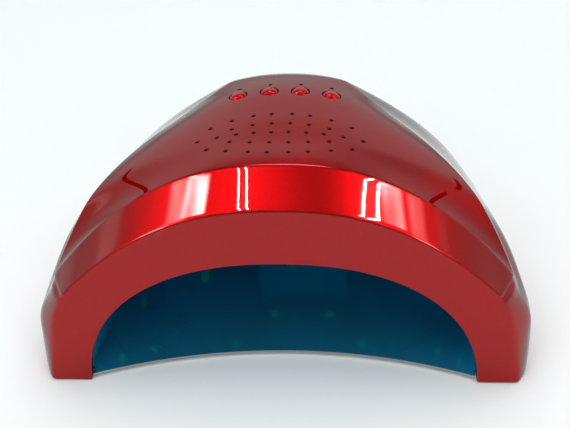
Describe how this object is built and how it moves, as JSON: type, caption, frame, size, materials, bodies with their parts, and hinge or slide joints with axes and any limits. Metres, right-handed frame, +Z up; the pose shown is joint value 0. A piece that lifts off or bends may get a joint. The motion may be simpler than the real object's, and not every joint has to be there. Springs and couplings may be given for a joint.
{
  "type": "uv curing lamp",
  "caption": "Arch-fronted bench lamp that cures gel and resin with ultraviolet LEDs: domed red shell, push buttons, folded mirror tray and lift-off mirror base plate.",
  "frame": {"origin": "centre of the bounding box at the plane the rubber pads stand on", "axes": "+Z up, -Y out through the hand opening, +X to the right of a viewer facing the opening"},
  "size_m": [0.195, 0.19, 0.0966],
  "materials": {
    "shell_paint": "candy red metallic paint under clear coat",
    "black_plastic": "fine texture",
    "mirror_sheet": "mirror polished",
    "mirror_plate": "mirror polished steel",
    "blue_film": "clear blue protective film",
    "magnet": "nickel plated",
    "led_board": "white solder mask",
    "led_package": "ceramic package with clear lens",
    "sensor": "dark infrared window",
    "button_red": "gloss",
    "switch_black": "matt",
    "switch_metal": "pressed",
    "green_board": "solder mask",
    "chip": "moulded",
    "indicator": "clear lens",
    "light_pipe": "clear acrylic",
    "screw_steel": "zinc plated",
    "ferrite": "ferrite",
    "capacitor": "sleeved",
    "white_plastic": "moulded",
    "contact": "tinned",
    "grey_wire": "insulated",
    "red_wire": "insulated",
    "rubber_pad": "matt"
  },
  "bodies": {
    "lamp_body": {"top_shell": "shell_paint", "base_frame": "black_plastic", "reflector": "mirror_sheet", "reflector_film": "blue_film", "plate_magnets": "magnet", "led_board_ceiling": "led_board", "led_board_slope_left": "led_board", "led_board_slope_right": "led_board", "led_board_wall_left": "led_board", "led_board_wall_right": "led_board", "led_board_corner_left": "led_board", "led_board_corner_right": "led_board", "led_board_rear": "led_board", "uv_leds_ceiling": "led_package", "uv_leds_slopes": "led_package", "uv_leds_walls": "led_package", "uv_leds_corners": "led_package", "uv_leds_rear": "led_package", "hand_sensors": "sensor", "switch_bodies": "switch_metal", "control_board": "green_board", "control_chip": "chip", "indicator_leds": "indicator", "light_pipes": "light_pipe", "control_board_screws": "screw_steel", "driver_board": "green_board", "driver_inductors": "ferrite", "driver_capacitors": "capacitor", "driver_transistors": "chip", "driver_connectors": "white_plastic", "driver_board_screws": "screw_steel", "dc_jack_housing": "switch_black", "dc_jack_pin": "contact", "dc_jack_contacts": "contact", "control_lead": "grey_wire", "led_leads": "red_wire", "reflector_screws": "screw_steel", "led_board_screws": "screw_steel", "frame_screws": "screw_steel", "rubber_feet": "rubber_pad"},
    "mirror_plate": {"base_plate": "mirror_plate", "base_plate_film": "blue_film"},
    "button_1_stack": {"button_1": "button_red", "switch_plunger_1": "switch_black"},
    "button_2_stack": {"button_2": "button_red", "switch_plunger_2": "switch_black"},
    "button_3_stack": {"button_3": "button_red", "switch_plunger_3": "switch_black"},
    "button_4_stack": {"button_4": "button_red", "switch_plunger_4": "switch_black"}
  },
  "joints": [
    {"name": "base_plate_lift_off", "type": "slide", "parent": "lamp_body", "child": "mirror_plate", "axis": [0, 0, -1], "range_m": [0, 0.03]},
    {"name": "button_1_press", "type": "slide", "parent": "lamp_body", "child": "button_1_stack", "axis": [0, 0, -1], "range_m": [0, 0.0005], "stiffness_N_per_m": 1200, "springref_m": -0.0004},
    {"name": "button_2_press", "type": "slide", "parent": "lamp_body", "child": "button_2_stack", "axis": [0, 0, -1], "range_m": [0, 0.0005], "stiffness_N_per_m": 1200, "springref_m": -0.0004},
    {"name": "button_3_press", "type": "slide", "parent": "lamp_body", "child": "button_3_stack", "axis": [0, 0, -1], "range_m": [0, 0.0005], "stiffness_N_per_m": 1200, "springref_m": -0.0004},
    {"name": "button_4_press", "type": "slide", "parent": "lamp_body", "child": "button_4_stack", "axis": [0, 0, -1], "range_m": [0, 0.0005], "stiffness_N_per_m": 1200, "springref_m": -0.0004}
  ]
}
